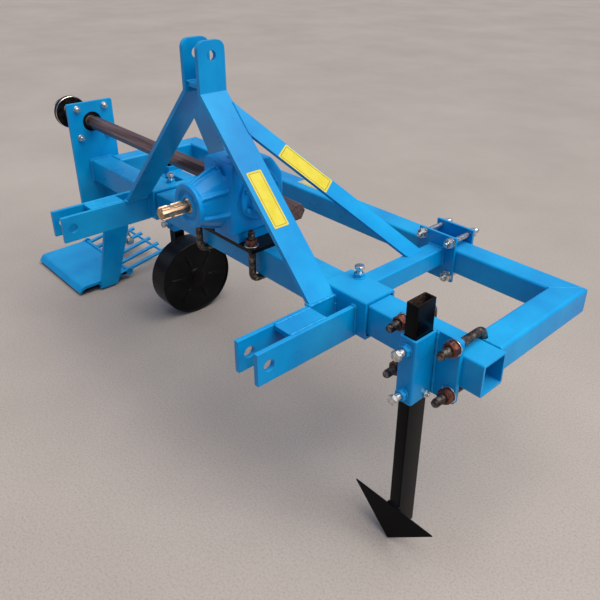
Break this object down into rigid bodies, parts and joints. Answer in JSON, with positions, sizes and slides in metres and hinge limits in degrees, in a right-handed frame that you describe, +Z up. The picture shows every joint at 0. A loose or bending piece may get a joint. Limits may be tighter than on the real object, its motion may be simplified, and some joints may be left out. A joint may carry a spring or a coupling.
{
  "type": "scallion harvester",
  "caption": "Three-point-hitch digger with a side blade, a crank-driven shaking grate, a bevel gearbox, a gauge wheel and a counter share.",
  "frame": {"origin": "the ground under the middle of the machine's box", "axes": "+X along the beams toward the share end, -X toward the blade, +Y rearward from the tractor, +Z up"},
  "size_m": [2.093, 0.8, 1.062],
  "materials": {
    "blue_paint": "gloss",
    "black_paint": "satin",
    "zinc": "satin",
    "bare_steel": "satin",
    "casting": "satin",
    "ground_steel": "satin"
  },
  "bodies": {
    "frame": {"front_beam": "blue_paint", "rear_beam": "blue_paint", "right_end_tube": "blue_paint", "left_end_tube": "blue_paint", "hitch_sleeve_right": "blue_paint", "hitch_sleeve_left": "blue_paint", "lower_arm_right": "blue_paint", "lower_arm_left": "blue_paint", "hitch_tube_right": "blue_paint", "hitch_tube_left": "blue_paint", "mast_leg_right": "blue_paint", "mast_leg_left": "blue_paint", "mast_spacer": "blue_paint", "brace_right": "blue_paint", "brace_left": "blue_paint", "rear_clamp_plates": "blue_paint", "rear_clamp_bolts": "zinc", "rear_sleeve": "blue_paint", "side_plate": "blue_paint", "blade": "blue_paint", "shaft_bearing": "blue_paint", "gearbox_base": "black_paint", "gearbox_housing": "casting", "gearbox_u_bolts": "black_paint", "share_bolts": "bare_steel", "share_clamp": "blue_paint", "share_shank": "black_paint", "share": "black_paint", "wheel_bracket": "blue_paint", "wheel_stem": "black_paint", "hitch_set_bolts": "zinc", "rear_sleeve_set_bolts": "zinc", "share_set_bolts": "zinc", "wheel_set_bolt": "zinc"},
    "input_shaft": {"input_shaft": "bare_steel"},
    "output_shaft": {"cross_shaft": "bare_steel", "crank_disc": "ground_steel"},
    "connecting_rod": {"connecting_rod": "blue_paint"},
    "shaking_grate": {"grate": "blue_paint"},
    "gauge_wheel": {"gauge_wheel": "black_paint"}
  },
  "joints": [
    {"name": "input_turn", "type": "hinge", "parent": "frame", "child": "input_shaft", "pos_m": [0.246, -0.294, 0.672], "axis": [0, 1, 0], "continuous": true},
    {"name": "output_turn", "type": "hinge", "parent": "frame", "child": "output_shaft", "pos_m": [0.246, -0.073, 0.672], "axis": [1, 0, 0], "continuous": true},
    {"name": "rod_turn", "type": "hinge", "parent": "output_shaft", "child": "connecting_rod", "pos_m": [-0.8485, -0.08504, 0.68797], "axis": [1, 0, 0], "continuous": true},
    {"name": "grate_swing", "type": "hinge", "parent": "frame", "child": "shaking_grate", "pos_m": [-0.8485, -0.005, 0.0347], "axis": [1, 0, 0], "range_deg": [-10, 10]},
    {"name": "wheel_turn", "type": "hinge", "parent": "frame", "child": "gauge_wheel", "pos_m": [-0.304, 0.071, 0.141], "axis": [1, 0, 0], "continuous": true}
  ],
  "couplings": [
    {"joint": "output_turn", "follows": "input_turn", "ratio": 1},
    {"joint": "rod_turn", "follows": "input_turn", "ratio": -1}
  ]
}
